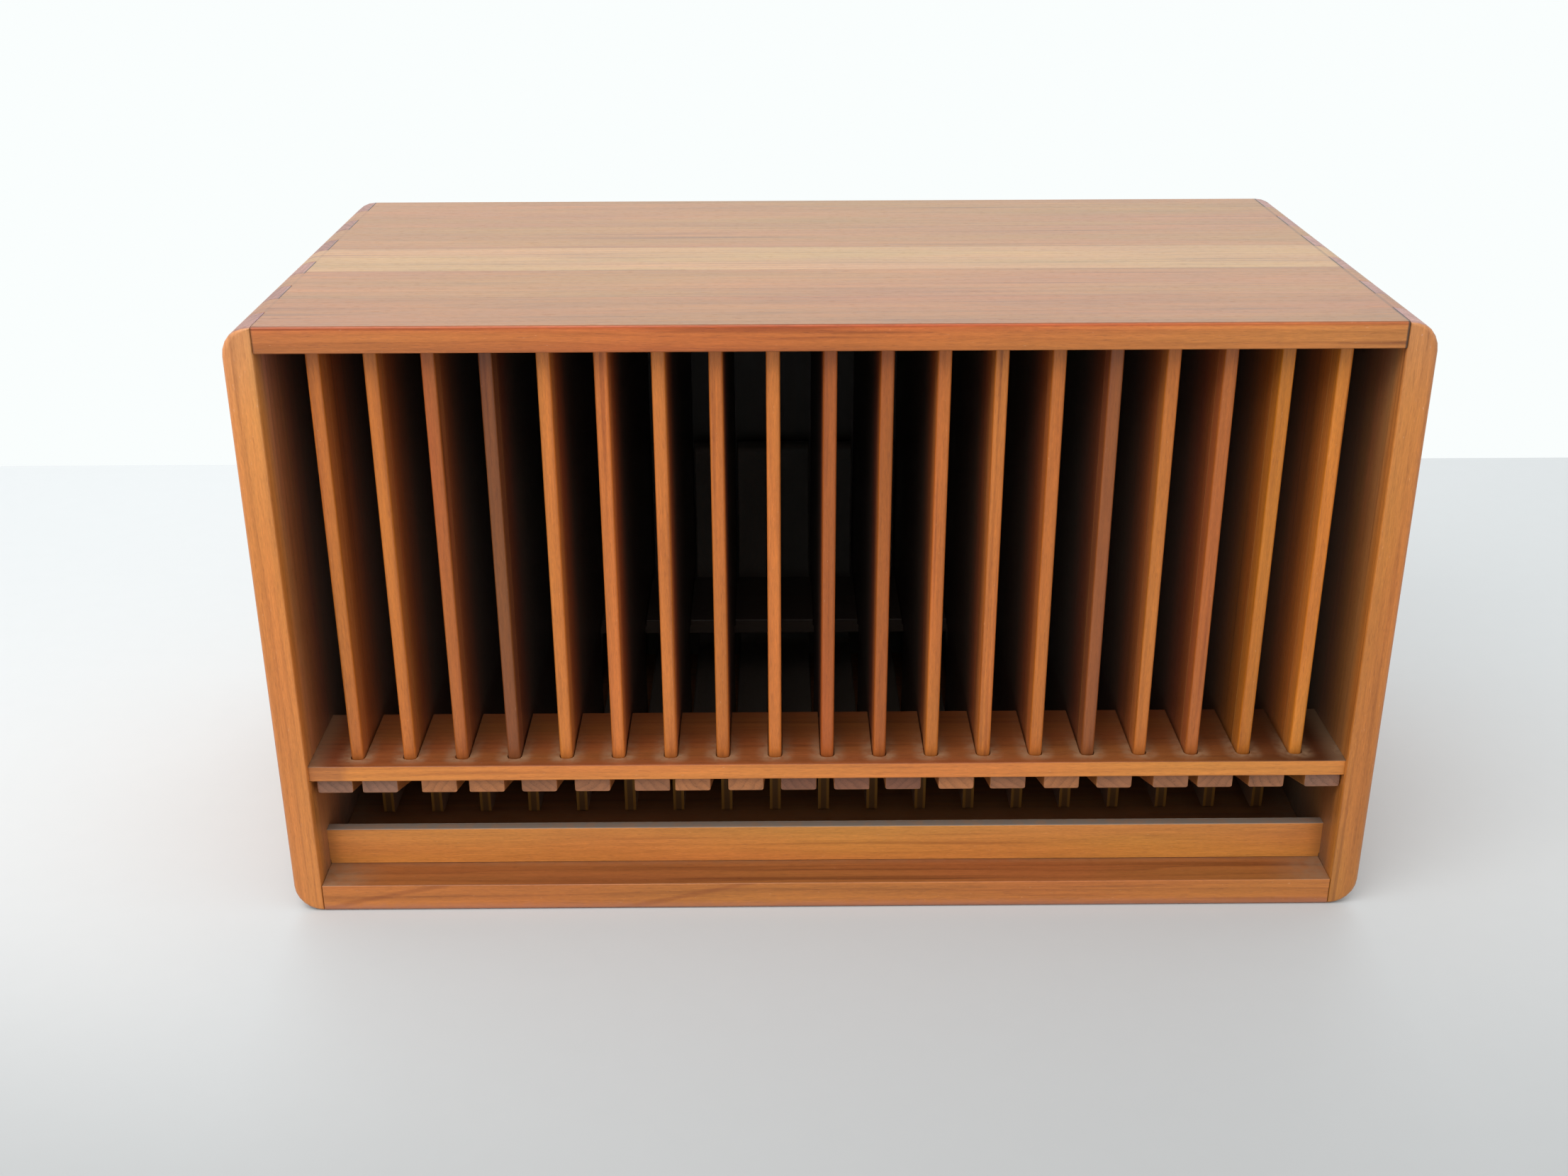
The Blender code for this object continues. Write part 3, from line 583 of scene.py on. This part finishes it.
def divider_look(k, colour, rough, pos, xyz, normal):
    """Divider: solid front lipping, a duller panel behind it, plies on cut edges; painted light on the flanks, painted
    shade deeper in the slot, a painted highlight at the lipping's back step.
    """
    behind = k.step(xyz[1], yw(13.25), yw(13.5))
    u = k.math("MULTIPLY", k.math("PINGPONG", k.math("DIVIDE", xyz[0], PITCH), 0.5), PITCH)
    facing = k.step(k.math("ABSOLUTE", k.split(normal)[0]), 0.4, 0.8)
    flank = k.math("MULTIPLY", facing, k.step(xyz[1], yw(7.0), yw(9.5)))
    # painted light: a paler, cooler tint on the flanks behind the rounded front
    colour = k.mix(flank, colour, k.vec("MULTIPLY", colour, (1.02, 1.05, 1.60)))
    colour = k.mix(behind, colour, k.vec("MULTIPLY", colour, (0.95, 0.95, 1.0)))
    # painted shade fading towards the back of the slot, partly taken as dull wood
    colour = paint_depth_shade(k, k.step(xyz[1], yw(13.5), yw(50.0)), colour)
    # a painted highlight along the arris at the lipping's back step
    arris = k.math("MULTIPLY", k.step(xyz[1], yw(12.9), yw(13.2)), k.step(xyz[1], yw(13.4), yw(13.6), 1.0, 0.0))
    colour = k.mix(k.math("MULTIPLY", arris, 0.75), colour, albedo((226, 166, 100)))
    # plies on the panel's cut edges: veneer, core, veneer
    core = k.step(u, 0.75, 1.05, 1.0, 0.0)
    cut = k.math("MULTIPLY", behind, k.math("SUBTRACT", 1.0, facing))
    ply = k.mix(core, albedo((150, 112, 60)), albedo((92, 76, 56)))
    colour = k.mix(cut, colour, ply)
    # darker at the foot, where it stands in the shelf
    foot = k.step(k.math("ADD", xyz[2], k.math("MULTIPLY", k.noise(pos, 1.5, 1.5, 2.0), 2.0)), 50.2, 53.5, 0.38, 0.0)
    return k.mix(foot, colour, albedo((110, 72, 48))), rough


def lever_look(k, colour, rough, pos, xyz, normal):
    """Lever: the key's front is paler along its lower edge, and painted shade, partly taken as dull wood, darkens it
    towards the back.
    """
    front = k.step(xyz[1], yw(3.6), yw(3.2))
    low = k.step(k.math("ADD", xyz[2], k.math("MULTIPLY", k.noise(pos, 1.6, 1.6, 2.0), 1.2)), 40.1, 41.2, 0.25, 0.0)
    colour = k.mix(k.math("MULTIPLY", low, front), colour, albedo((190, 132, 94)))
    # painted shade towards the back of the case, partly taken as dull wood
    rear = k.step(xyz[1], yw(40.0), yw(75.0))
    return paint_depth_shade(k, rear, colour), rough


def metal(name, colour, rough, brushed, seed):
    """Metal with fine turning or drawing marks and a little tarnish."""
    m = bpy.data.materials.new(name)
    m.use_nodes = True
    m.node_tree.nodes.clear()
    k = Graph(m.node_tree)
    out = k.node("ShaderNodeOutputMaterial")
    b = k.node("ShaderNodeBsdfPrincipled")
    k.put(out.inputs["Surface"], b.outputs["BSDF"])
    b.inputs["Metallic"].default_value = 1.0
    tc = k.node("ShaderNodeTexCoord").outputs
    pos = k.vec("MULTIPLY", tc["Object"], (1000.0, 1000.0, 1000.0))
    xyz = k.split(pos)
    pt = k.vec("ADD", k.join(*(xyz[n] for n in ORDER[brushed])), (seed, seed * 2.0, seed * 9.0))
    line = k.noise(pt, 0.16, 5.0, 3.0)
    spot = k.step(k.noise(pt, 1.4, 1.4, 3.0), 0.45, 0.72)
    dark = [v * 0.42 for v in colour]
    base = k.mix(k.math("MULTIPLY", spot, 0.65), colour, dark)
    base = k.tint(base, k.math("MULTIPLY_ADD", line, 0.35, 0.82))
    k.put(b.inputs["Base Color"], base)
    k.put(b.inputs["Roughness"], k.math("MULTIPLY_ADD", spot, 0.25, k.math("MULTIPLY_ADD", line, 0.2, rough - 0.1)))
    bn = k.node("ShaderNodeBump")
    bn.inputs["Strength"].default_value = 0.3
    bn.inputs["Distance"].default_value = 0.00003
    k.put(bn.inputs["Height"], line)
    k.put(b.inputs["Normal"], bn.outputs["Normal"])
    return m


# ======================================================================  case
SLAB_CUTS = (0.0, 30.2, 61.5, 91.5, 122.0, 165.0)


def side_rule(sx):
    def rule(e):
        inner = abs(abs(e.x) - JOINT_X) < 0.05
        if e.dhi < 0.05:                                 # in the front plane
            if inner:
                return 0.45
            high = max(0.0, min(1.0, (e.z - (HEIGHT - 9.0)) / 9.0))
            low = max(0.0, min(1.0, (9.0 - e.z) / 9.0))
            return 2.0 - 0.9 * high - 0.8 * low
        if e.dlo > DEPTH - 0.05:                         # in the back plane
            if abs(e.x) > JOINT_X + 5.2 or e.z > HEIGHT - 3.2 or e.z < 3.8:
                high = max(0.0, min(1.0, (e.z - (HEIGHT - 9.0)) / 9.0))
                low = max(0.0, min(1.0, (9.0 - e.z) / 9.0))
                return 1.5 - 0.4 * high - 0.3 * low
            return 0.2
        return 0.0
    return rule


def board_rule(z_out, r_out, z_in, r_in, r_back):
    def rule(e):
        if abs(e.dir.x) < 0.99:
            return 0.0
        if e.dhi < 0.05 and abs(e.z - z_out) < 0.05:
            return r_out
        if e.dhi < 0.05 and abs(e.z - z_in) < 0.05:
            return r_in
        if e.dlo > DEPTH - 0.05 and abs(e.z - z_out) < 0.05:
            return r_back
        return 0.0
    return rule


SIDE_END_L, SIDE_END_R = (156, 113, 84), (170, 126, 94)
side_l = wood("teak_side_left", CASE_L, "Z", (-220.0, -30.0), end=SIDE_END_L, ring=2.1, figure=0.45, streaks=0.45,
              seed=1.3, extra=side_board, staves=(1, tuple(yw(c) for c in SLAB_CUTS), (1.0, 0.93, 1.04, 0.90, 0.98)))
side_r = wood("teak_side_right", CASE_R, "Z", (220.0, 25.0), end=SIDE_END_R, ring=2.3, figure=0.45, streaks=0.55,
              seed=4.1, extra=side_board, staves=(1, tuple(yw(c) for c in SLAB_CUTS), (1.0, 0.95, 0.90, 1.03, 0.94)))
top_m = wood("teak_top", TOP_TONE, "X", (0.0, 130.0), ring=2.4, figure=0.5, streaks=0.85, seed=2.6, extra=top_board, lit=0.91,
             staves=(1, tuple(yw(c) for c in SLAB_CUTS),
                     ((0.92, 0.92, 0.93), (0.99, 1.10, 1.22), (1.23, 1.70, 2.70), (1.00, 1.15, 1.42), (0.99, 1.15, 1.38))))
base_m = wood("teak_base", BASE, "X", (10.0, -60.0), ring=3.0, figure=0.75, streaks=0.6, seed=7.4, extra=base_board, lit=0.85,
              staves=(1, tuple(yw(c) for c in SLAB_CUTS), (1.0, 0.92, 1.03, 0.95, 0.98)))

for sx, node, name, mat in ((-1, "left_side_panel", "side_board_left", side_l),
                            (1, "right_side_panel", "side_board_right", side_r)):
    piece(name, rounded(welded(node), name, side_rule(sx)), "case", "teak_case", mat, node)
piece("top_board", rounded(welded("top_panel"), "top_board",
                           board_rule(HEIGHT, 0.7, HEIGHT - TOP_T, 0.45, 1.1)), "case", "teak_case", top_m, "top_panel")
piece("base_board", rounded(welded("bottom_panel"), "base_board",
                            board_rule(0.0, 1.2, BOTTOM_T, 0.4, 1.2)), "case", "teak_case", base_m, "bottom_panel")

def back_look(k, colour, rough, pos, xyz, normal):
    """Back panel: its inside face darkened with painted shade for the depth of the case, partly taken as dull unsanded
    wood.
    """
    inner = k.step(k.split(normal)[1], -0.8, -0.3, 1.0, 0.0)
    # painted shade on the inside face, partly taken as dull wood
    colour = k.mix(inner, colour, k.vec("MULTIPLY", paint_depth_shade(k, 0.9, colour), (0.47, 0.47, 0.47)))
    return colour, rough


back_m = wood("teak_veneer_back", (150, 98, 62), "Z", (30.0, 240.0), ring=5.5, figure=0.8, streaks=0.5, seed=9.2,
              extra=back_look)
piece("back_board", rounded(welded("back_panel"), "back_board", lambda e: 0.35 if e.len > 30 else 0.0, 0.5, 3),
      "case", "back_ply", back_m, "back_panel")

shelf_m = wood("teak_shelf_front", SHELF_FRONT, "X", (30.0, 160.0), ring=1.9, figure=0.4, streaks=0.45, seed=3.7,
               extra=shelf_dust_and_shade, lit=0.95)


def rear_shelf(k, colour, rough, pos, xyz, normal):
    # painted shade: darkened for its depth in the case, partly taken as dull wood
    return k.vec("MULTIPLY", paint_depth_shade(k, 0.75, colour), (0.50, 0.50, 0.50)), rough


shelf2_m = wood("teak_shelf_rear", (140, 86, 52), "X", (60.0, 120.0), ring=2.6, figure=0.5, seed=5.9, extra=rear_shelf)
rail_m = wood("teak_rail", RAIL, "X", (70.0, 40.0), ring=2.2, figure=0.4, streaks=0.55, seed=6.3, extra=rail_top, lit=0.74)


def shelf_rule(e):
    if abs(e.dir.x) > 0.99 and e.dhi < 1.7:
        return 0.45
    if abs(e.dir.x) > 0.99 and e.dlo > 34.7:
        return 0.3
    return 0.12 if e.z > 49.6 and e.len > 0.5 else 0.0


piece("shelf_front", rounded(welded("front_shelf"), "shelf_front", shelf_rule, 0.5, 3), "case", "teak_shelf", shelf_m,
      "front_shelf")
piece("shelf_rear", rounded(welded("rear_shelf"), "shelf_rear",
                            lambda e: 0.3 if abs(e.dir.x) > 0.99 and (e.dhi < 104.1 or e.dlo > 141.9) else 0.0, 0.5, 3),
      "case", "teak_shelf", shelf2_m, "rear_shelf")
piece("rail_front", rounded(welded("front_rail"), "rail_front",
                            lambda e: 0.4 if abs(e.dir.x) > 0.99 and e.z > 21.0 else 0.0, 0.5, 3),
      "case", "teak_case", rail_m, "front_rail")

# ==================================================================  dividers
STRAW = (214, 133, 63)
DIVIDER_TONES = (HONEY, HONEY, ROSE, SMOKE, AMBER, AMBER, AMBER, HONEY, AMBER, RUSSET,
                 RUSSET, HONEY, AMBER, HONEY, UMBER, HONEY, ROSE, GOLD, STRAW)
for n, tone in enumerate(DIVIDER_TONES, 1):
    node = "divider_%02d" % n
    x = (n - 10) * PITCH
    mat = wood("teak_divider_%02d" % n, tone, "Z", (x + 14.0 * math.sin(n * 2.3), -82 - 40.0 + 9 * (n % 4)), ring=1.7,
               figure=0.5, streaks=0.75, seed=11.0 + 1.7 * n, extra=divider_look, lit=1.04)
    name = "divider_board_%02d" % n
    me = rounded(welded(node), name, lambda e: 0.28 if abs(e.dir.z) > 0.99 and e.dhi < 8.0 and e.turn > 30 else 0.0,
                 0.5, 2)
    piece(name, me, "case", "teak_divider", mat, node)

# ====================================================================  levers
ASH, TAN, CORAL, DUSK = (137, 101, 84), (146, 100, 74), (165, 110, 75), (122, 84, 68)
KEY_TONES = (ASH, ASH, CORAL, CORAL, TAN, TAN, TAN, CORAL, CORAL, DUSK,
             DUSK, DUSK, CORAL, TAN, CORAL, TAN, TAN, TAN, TAN, ASH)


def lever_rule(e):
    if e.dhi < 3.45:                                      # round the key's front face
        return 0.3
    if abs(e.dir.x) > 0.5:
        return 0.0
    if e.turn > 60 and e.d < 46 and e.z < 42:             # lower arrises of the key
        return 0.95
    return 0.5 if e.turn > 60 and e.len > 0.6 and not (59 < e.d < 65 and 21 < e.z < 28) else 0.0


for n, tone in enumerate(KEY_TONES, 1):
    node = "lever_%02d" % n
    x = (n - 10.5) * PITCH
    lean = 1.0 if (n * 7) % 3 else -1.0
    mat = wood("lever_wood_%02d" % n, (168, 112, 72), "Y", (x + lean * 26.0, 44.0 + 22.0), ring=2.3, figure=0.6,
               streaks=0.4, end=tone, seed=40.0 + 2.3 * n, extra=lever_look, lit=0.96)
    name = "lever_board_%02d" % n
    piece(name, rounded(welded(node, 0.3), name, lever_rule, 1.0, 3), node + "_body", "lever_wood", mat, node)

# ============================================================  rod and screws
def turned(name, profile, sides, axis):
    """A closed solid of revolution from (radius, along) points, about axis."""
    bm = bmesh.new()
    rings = []
    for r, t in profile:
        if r < 1e-9:
            rings.append([bm.verts.new((0, 0, t))])
        else:
            rings.append([bm.verts.new((r * math.cos(2 * math.pi * s / sides), r * math.sin(2 * math.pi * s / sides), t))
                          for s in range(sides)])
    for a, b in zip(rings, rings[1:]):
        for s in range(sides):
            t = (s + 1) % sides
            if len(a) == 1:
                bm.faces.new((a[0], b[s], b[t]))
            elif len(b) == 1:
                bm.faces.new((a[s], b[0], a[t]))
            else:
                bm.faces.new((a[s], b[s], b[t], a[t]))
    bmesh.ops.recalc_face_normals(bm, faces=bm.faces[:])
    me = bpy.data.meshes.new(name)
    bm.to_mesh(me)
    bm.free()
    if axis == "X":
        me.transform(Matrix.Rotation(math.pi / 2, 4, "Y"))
    return me


lo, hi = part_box("pivot_rod")
half, r = (hi.x - lo.x) / 2, (hi.z - lo.z) / 2
rod = turned("rod", [(0, -half), (r - 0.0004, -half), (r, -half + 0.0006), (r, -half / 3), (r, half / 3),
                     (r, half - 0.0006), (r - 0.0004, half), (0, half)], 32, "X")
rod.transform(Matrix.Translation((lo + hi) / 2))
piece("rod", rod, "case", "steel_rod", metal("drawn_steel", (0.56, 0.55, 0.53), 0.34, "X", 3.0), "pivot_rod")

brass = metal("old_brass", (0.60, 0.42, 0.17), 0.36, "X", 8.0)
for n in range(1, 9):
    node = "back_screw_%02d" % n
    lo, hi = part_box(node)
    cx, cz, head = (lo.x + hi.x) / 2, (lo.z + hi.z) / 2, hi.y
    R, S, H, L = 0.0021, 0.0011, 0.0013, 0.0095
    prof = [(0, 0.0), (R - 0.00012, 0.0), (R, -0.0001), (R, -0.00022), (S, -H)]
    t = -H - 0.0003
    while t > -L + 0.0016:                             # the thread's crests and roots
        prof += [(S, t), (S - 0.00022, t - 0.0003)]
        t -= 0.0006
    prof += [(0.0, -L)]
    me = turned("screw", prof, 24, "Z")
    ob = bpy.data.objects.new("screw_raw", me)
    bpy.context.scene.collection.objects.link(ob)
    cut_bm = bmesh.new()
    bmesh.ops.create_cube(cut_bm, size=1.0, matrix=Matrix.Translation((0, 0, 0.0002)) @ Matrix.Diagonal((0.006, 0.0006, 0.0016, 1)))
    cut_me = bpy.data.meshes.new("slot_cut")
    cut_bm.to_mesh(cut_me)
    cut_bm.free()
    cut = bpy.data.objects.new("slot_cut", cut_me)
    bpy.context.scene.collection.objects.link(cut)
    bo = ob.modifiers.new("slot", "BOOLEAN")
    bo.object, bo.operation, bo.solver = cut, "DIFFERENCE", "EXACT"
    bpy.context.view_layer.update()
    done = bpy.data.meshes.new_from_object(ob.evaluated_get(bpy.context.evaluated_depsgraph_get()))
    bpy.data.objects.remove(ob, do_unlink=True)
    bpy.data.objects.remove(cut, do_unlink=True)
    done.transform(Matrix.Translation((cx, head, cz)) @ Matrix.Rotation(-math.pi / 2, 4, "X")
                   @ Matrix.Rotation(math.radians(37 * n), 4, "Z"))
    piece("brass_screw_%02d" % n, done, "case", "brass_screw", brass, node, weighted=False)

# =====================================================================  stage
def plain(name, colour, rough, glow=0.0):
    m = bpy.data.materials.new(name)
    m.use_nodes = True
    b = m.node_tree.nodes["Principled BSDF"]
    b.inputs["Base Color"].default_value = (*colour, 1)
    b.inputs["Roughness"].default_value = rough
    b.inputs["Specular IOR Level"].default_value = 0.25
    if glow:
        b.inputs["Emission Color"].default_value = (0.97, 1.0, 1.0, 1)
        b.inputs["Emission Strength"].default_value = glow
    return m


def sheet_mesh(name, profile, half_width, material):
    """A sweep: a (y, z) profile drawn across the whole width."""
    bm = bmesh.new()
    rows = [[bm.verts.new((sx * half_width, y, z)) for sx in (-1, 1)] for y, z in profile]
    for a, b in zip(rows, rows[1:]):
        bm.faces.new((a[0], a[1], b[1], b[0]))
    me = bpy.data.meshes.new(name)
    bm.to_mesh(me)
    bm.free()
    for p in me.polygons:
        p.use_smooth = True
    me.materials.append(material)
    ob = bpy.data.objects.new(name, me)
    bpy.context.scene.collection.objects.link(ob)
    ob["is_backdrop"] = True
    return ob


floor_m = plain("pale_floor", (0.60, 0.61, 0.62), 0.6)
k = Graph(floor_m.node_tree)
at = k.split(k.node("ShaderNodeTexCoord").outputs["Object"])
# painted light on the floor: brighter towards the back, darker towards the front, the front-left corner and the right,
# with a faint mottle
floor_light_and_mottle = k.split(k.ramp(k.math("ADD", at[1], 0.6), ((0.0, 0.70), (0.30, 0.73), (0.40, 0.80), (0.48, 0.93), (0.55, 1.01),
                                                 (0.62, 1.05), (0.90, 1.09))))[0]
floor_light_and_mottle = k.math("MULTIPLY", floor_light_and_mottle, k.step(k.math("MULTIPLY_ADD", at[0], 0.6, at[1]), -0.38, -0.22, 0.84, 1.0))
floor_light_and_mottle = k.math("MULTIPLY", floor_light_and_mottle, k.step(at[0], -0.25, 0.40, 1.02, 0.90))
mottle = k.noise(k.vec("MULTIPLY", k.node("ShaderNodeTexCoord").outputs["Object"], (1000.0, 1000.0, 1000.0)), 9.0, 9.0, 3.0)
floor_light_and_mottle = k.math("MULTIPLY", floor_light_and_mottle, k.math("MULTIPLY_ADD", mottle, 0.02, 0.99))
k.put(floor_m.node_tree.nodes["Principled BSDF"].inputs["Base Color"],
      k.vec("MULTIPLY", k.join(floor_light_and_mottle, floor_light_and_mottle, floor_light_and_mottle), (0.60, 0.613, 0.627)))
floor = sheet_mesh("floor", [(-3.0, 0.0), (0.325, 0.0)], 3.0, floor_m)

# ====================================================================  lights
scene = bpy.context.scene
world = bpy.data.worlds.new("studio")
scene.world = world
world.use_nodes = True
bg = world.node_tree.nodes["Background"]
bg.inputs["Color"].default_value = (0.955, 0.990, 0.985, 1)
bg.inputs["Strength"].default_value = 1.0


def softbox(name, place, look_at, size, power, colour=(1, 1, 1)):
    la = bpy.data.lights.new(name, "AREA")
    la.shape = "RECTANGLE"
    la.size, la.size_y = size
    la.energy = power
    la.color = colour
    ob = bpy.data.objects.new(name, la)
    bpy.context.scene.collection.objects.link(ob)
    ob.location = place
    ob.visible_camera = False
    ob.rotation_euler = (Vector(look_at) - Vector(place)).to_track_quat("-Z", "Y").to_euler()
    return ob


softbox("key_top_left", (-0.28, -0.50, 0.80), (0, -0.02, 0.12), (0.75, 0.45), 4.6, (1.0, 0.98, 0.95))
softbox("behind_top", (0.0, 0.95, 0.95), (0, 0.1, 0.1), (1.5, 0.6), 4.0, (0.96, 0.99, 1.0))

# ====================================================================  camera
tilt, yaw, roll = math.radians(23.766), math.radians(0.396), math.radians(-0.178)
fw = Vector((math.sin(yaw) * math.cos(tilt), math.cos(yaw) * math.cos(tilt), -math.sin(tilt)))
rt = Vector((math.cos(yaw), -math.sin(yaw), 0.0))
up = rt.cross(fw)
rr = math.cos(roll) * rt + math.sin(roll) * up
uu = -math.sin(roll) * rt + math.cos(roll) * up
cam_data = bpy.data.cameras.new("camera")
cam_data.sensor_width = 36.0
cam_data.lens = 40.14
cam_data.clip_start, cam_data.clip_end = 0.01, 20.0
cam = bpy.data.objects.new("camera", cam_data)
scene.collection.objects.link(cam)
cam.matrix_world = Matrix(((rr.x, uu.x, -fw.x, -0.01598), (rr.y, uu.y, -fw.y, -0.53542),
                           (rr.z, uu.z, -fw.z, 0.30701), (0, 0, 0, 1)))
scene.camera = cam
scene.view_settings.view_transform = "Standard"
scene.view_settings.look = "None"
scene.view_settings.exposure = 0.0
scene.view_settings.gamma = 1.0

# ======================================================================  size
lo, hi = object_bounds()
